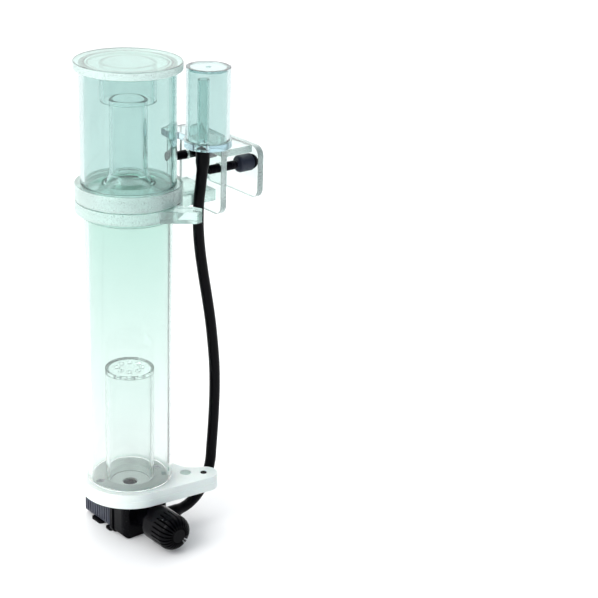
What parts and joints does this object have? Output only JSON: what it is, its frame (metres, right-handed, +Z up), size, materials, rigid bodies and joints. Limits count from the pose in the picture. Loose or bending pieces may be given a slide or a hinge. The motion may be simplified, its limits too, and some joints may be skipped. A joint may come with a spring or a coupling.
{
  "type": "protein skimmer",
  "caption": "Hang-on nano protein skimmer: clear body tube, lift-off foam cup, needle-wheel pump, air silencer and clamp screws for the tank's glass.",
  "frame": {"origin": "on the body tube's axis, at the underside of the pump's feet", "axes": "+Z up along the body tube, +X towards the tip of the base plates, +Y towards the back"},
  "size_m": [0.1064, 0.1069, 0.2833],
  "materials": {
    "clear_acrylic": "clear polished acrylic with a pale mint tint",
    "blue_acrylic": "clear polished acrylic with a pale blue tint",
    "white_acrylic": "white acrylic, satin sawn edges",
    "black_plastic": "black moulded ABS",
    "slate_plastic": "blue-black moulded ABS, fine ribs",
    "black_nylon": "black nylon",
    "black_rubber": "black rubber, matt",
    "grey_rubber": "dark grey rubber, matt",
    "silicone": "translucent silicone",
    "black_hose": "black flexible PVC, soft sheen",
    "screw_steel": "stainless steel",
    "core_steel": "laminated steel in resin",
    "copper_coil": "enamelled copper",
    "magnet": "sintered magnet",
    "white_plastic": "white moulded plastic",
    "ceramic": "white ceramic"
  },
  "bodies": {
    "root": {"base_plate_lower": "white_acrylic", "base_plate_upper": "white_acrylic", "base_screws": "screw_steel", "tip_screw": "black_nylon", "body_tube": "clear_acrylic", "bubble_tube": "clear_acrylic", "diffuser_disc": "clear_acrylic", "body_flange": "clear_acrylic", "flange_seal": "silicone", "locating_pin": "black_nylon", "silencer_shelf": "blue_acrylic", "silencer_tube": "blue_acrylic", "silencer_cap": "blue_acrylic", "silencer_standpipe": "blue_acrylic", "silencer_nipple": "blue_acrylic", "air_hose": "black_hose", "hanger_inner_plate": "clear_acrylic", "hanger_bridge": "clear_acrylic", "hanger_outer_plate": "clear_acrylic", "bumpers": "grey_rubber", "bumper_screws": "black_nylon", "pump_motor_housing": "slate_plastic", "pump_back_cover": "black_plastic", "pump_front_cover": "black_plastic", "pump_seal": "silicone", "pump_feet": "black_rubber", "stator_core": "core_steel", "stator_coil": "copper_coil", "cable_gland": "black_plastic", "rotor_shaft": "ceramic", "rear_bush": "grey_rubber", "front_bush": "white_plastic", "inlet_neck": "black_plastic", "air_inlet_nipple": "black_plastic"},
    "cup": {"cup_floor": "clear_acrylic", "cup_neck": "clear_acrylic", "cup_tube": "clear_acrylic"},
    "lid": {"lid_disc": "clear_acrylic", "lid_skirt": "clear_acrylic"},
    "rotor": {"rotor_magnet": "magnet", "needle_wheel": "white_plastic"},
    "strainer": {"strainer_cage": "black_plastic"},
    "tip_front": {"clamp_tip_front": "black_nylon"},
    "screw_front": {"clamp_screw_front": "black_nylon"},
    "tip_rear": {"clamp_tip_rear": "black_nylon"},
    "screw_rear": {"clamp_screw_rear": "black_nylon"}
  },
  "joints": [
    {"name": "cup_lift", "type": "slide", "parent": "root", "child": "cup", "axis": [0, 0, 1], "range_m": [0, 0.03]},
    {"name": "lid_lift", "type": "slide", "parent": "cup", "child": "lid", "axis": [0, 0, 1], "range_m": [0, 0.025]},
    {"name": "impeller_spin", "type": "hinge", "parent": "root", "child": "rotor", "pos_m": [0, 0, 0.012], "axis": [0.5878, -0.809, 0], "continuous": true},
    {"name": "strainer_pull", "type": "slide", "parent": "root", "child": "strainer", "axis": [0.5878, -0.809, 0], "range_m": [0, 0.012]},
    {"name": "clamp_advance_front", "type": "slide", "parent": "root", "child": "tip_front", "axis": [0.8192, 0.5736, 0], "range_m": [-0.0064, 0]},
    {"name": "clamp_turn_front", "type": "hinge", "parent": "tip_front", "child": "screw_front", "pos_m": [0.05177, 0.01672, 0.2178], "axis": [0.8192, 0.5736, 0], "range_deg": [-2880, 0]},
    {"name": "clamp_advance_rear", "type": "slide", "parent": "root", "child": "tip_rear", "axis": [0.8192, 0.5736, 0], "range_m": [-0.0064, 0]},
    {"name": "clamp_turn_rear", "type": "hinge", "parent": "tip_rear", "child": "screw_rear", "pos_m": [0.03342, 0.04293, 0.2178], "axis": [0.8192, 0.5736, 0], "range_deg": [-2880, 0]}
  ],
  "couplings": [
    {"joint": "clamp_turn_front", "follows": "clamp_advance_front", "rad_per_m": 7854},
    {"joint": "clamp_turn_rear", "follows": "clamp_advance_rear", "rad_per_m": 7854}
  ]
}
